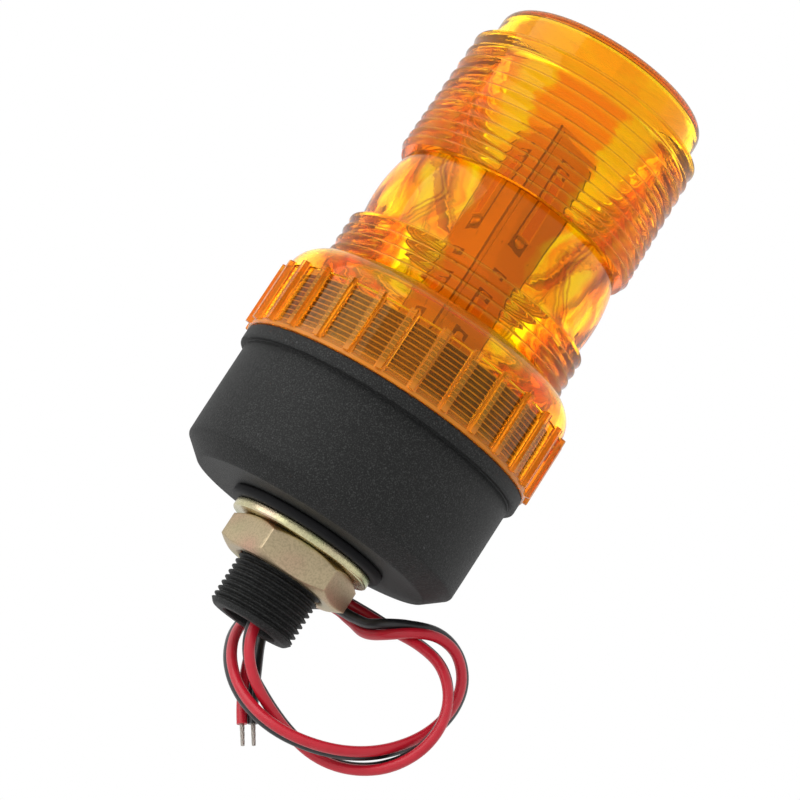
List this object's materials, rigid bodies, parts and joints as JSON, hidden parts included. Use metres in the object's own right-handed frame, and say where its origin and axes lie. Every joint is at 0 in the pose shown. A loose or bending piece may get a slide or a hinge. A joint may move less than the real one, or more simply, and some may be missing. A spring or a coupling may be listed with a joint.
{
  "type": "warning beacon",
  "caption": "LED warning beacon: amber prismatic screw-on lens on a black base with a threaded hollow stem, washer, nut and twin supply lead.",
  "frame": {"origin": "centre of the mounting seat, on the lower face of the rubber gasket, where the stem passes through the panel", "axes": "+Z along the beacon's axis from the panel towards the lens; -Z along the stem; +X towards the side where the supply lead makes its loops"},
  "size_m": [0.0935, 0.08, 0.1862],
  "materials": {
    "base_plastic": "fine spark-textured black ABS",
    "gasket_rubber": "smooth black rubber",
    "seal_rubber": "smooth black rubber",
    "plated_steel": "yellow passivated zinc plate, slightly iridescent",
    "amber_lens": "clear amber polycarbonate, polished",
    "lead_vinyl": "satin red and black vinyl insulation",
    "tinned_copper": "tinned and twisted strands",
    "board_laminate": "green solder mask over glass-epoxy laminate",
    "led_package": "white package with a yellow silicone window",
    "chip_epoxy": "moulded black epoxy",
    "capacitor_sleeve": "dark blue shrink sleeve with a bare aluminium top",
    "ferrite": "sintered dark grey ferrite with a copper winding"
  },
  "bodies": {
    "base": {"base_housing": "base_plastic", "base_gasket": "gasket_rubber", "lead_grommet": "gasket_rubber", "twin_lead": "lead_vinyl", "stripped_ends": "tinned_copper", "inner_leads": "lead_vinyl", "driver_board": "board_laminate", "board_screws": "plated_steel", "electrolytic_capacitor": "capacitor_sleeve", "drum_inductor": "ferrite", "controller_chip": "chip_epoxy", "rectifier_diodes": "chip_epoxy", "chip_resistors": "chip_epoxy", "lead_terminal": "chip_epoxy", "column_top_board": "board_laminate", "top_led_chip": "led_package", "led_board_front": "board_laminate", "led_chips_front": "led_package", "led_board_right": "board_laminate", "led_chips_right": "led_package", "led_board_back": "board_laminate", "led_chips_back": "led_package", "led_board_left": "board_laminate", "led_chips_left": "led_package"},
    "seal_ring": {"lens_seal": "seal_rubber"},
    "lens_cover": {"lens": "amber_lens"},
    "washer": {"flat_washer": "plated_steel"},
    "nut": {"hex_nut": "plated_steel"}
  },
  "joints": [
    {"name": "lens_lift", "type": "slide", "parent": "base", "child": "seal_ring", "axis": [0, 0, 1], "range_m": [0, 0.0125]},
    {"name": "lens_turn", "type": "hinge", "parent": "seal_ring", "child": "lens_cover", "pos_m": [0, 0, 0.045], "axis": [0, 0, 1], "range_deg": [0, 1800]},
    {"name": "nut_travel", "type": "slide", "parent": "base", "child": "washer", "axis": [0, 0, -1], "range_m": [0, 0.012]},
    {"name": "nut_turn", "type": "hinge", "parent": "washer", "child": "nut", "pos_m": [0, 0, -0.0066], "axis": [0, 0, -1], "range_deg": [0, 2880]}
  ],
  "couplings": [
    {"joint": "lens_lift", "follows": "lens_turn", "m_per_rad": 0.00039789},
    {"joint": "nut_travel", "follows": "nut_turn", "m_per_rad": 0.00023873}
  ]
}
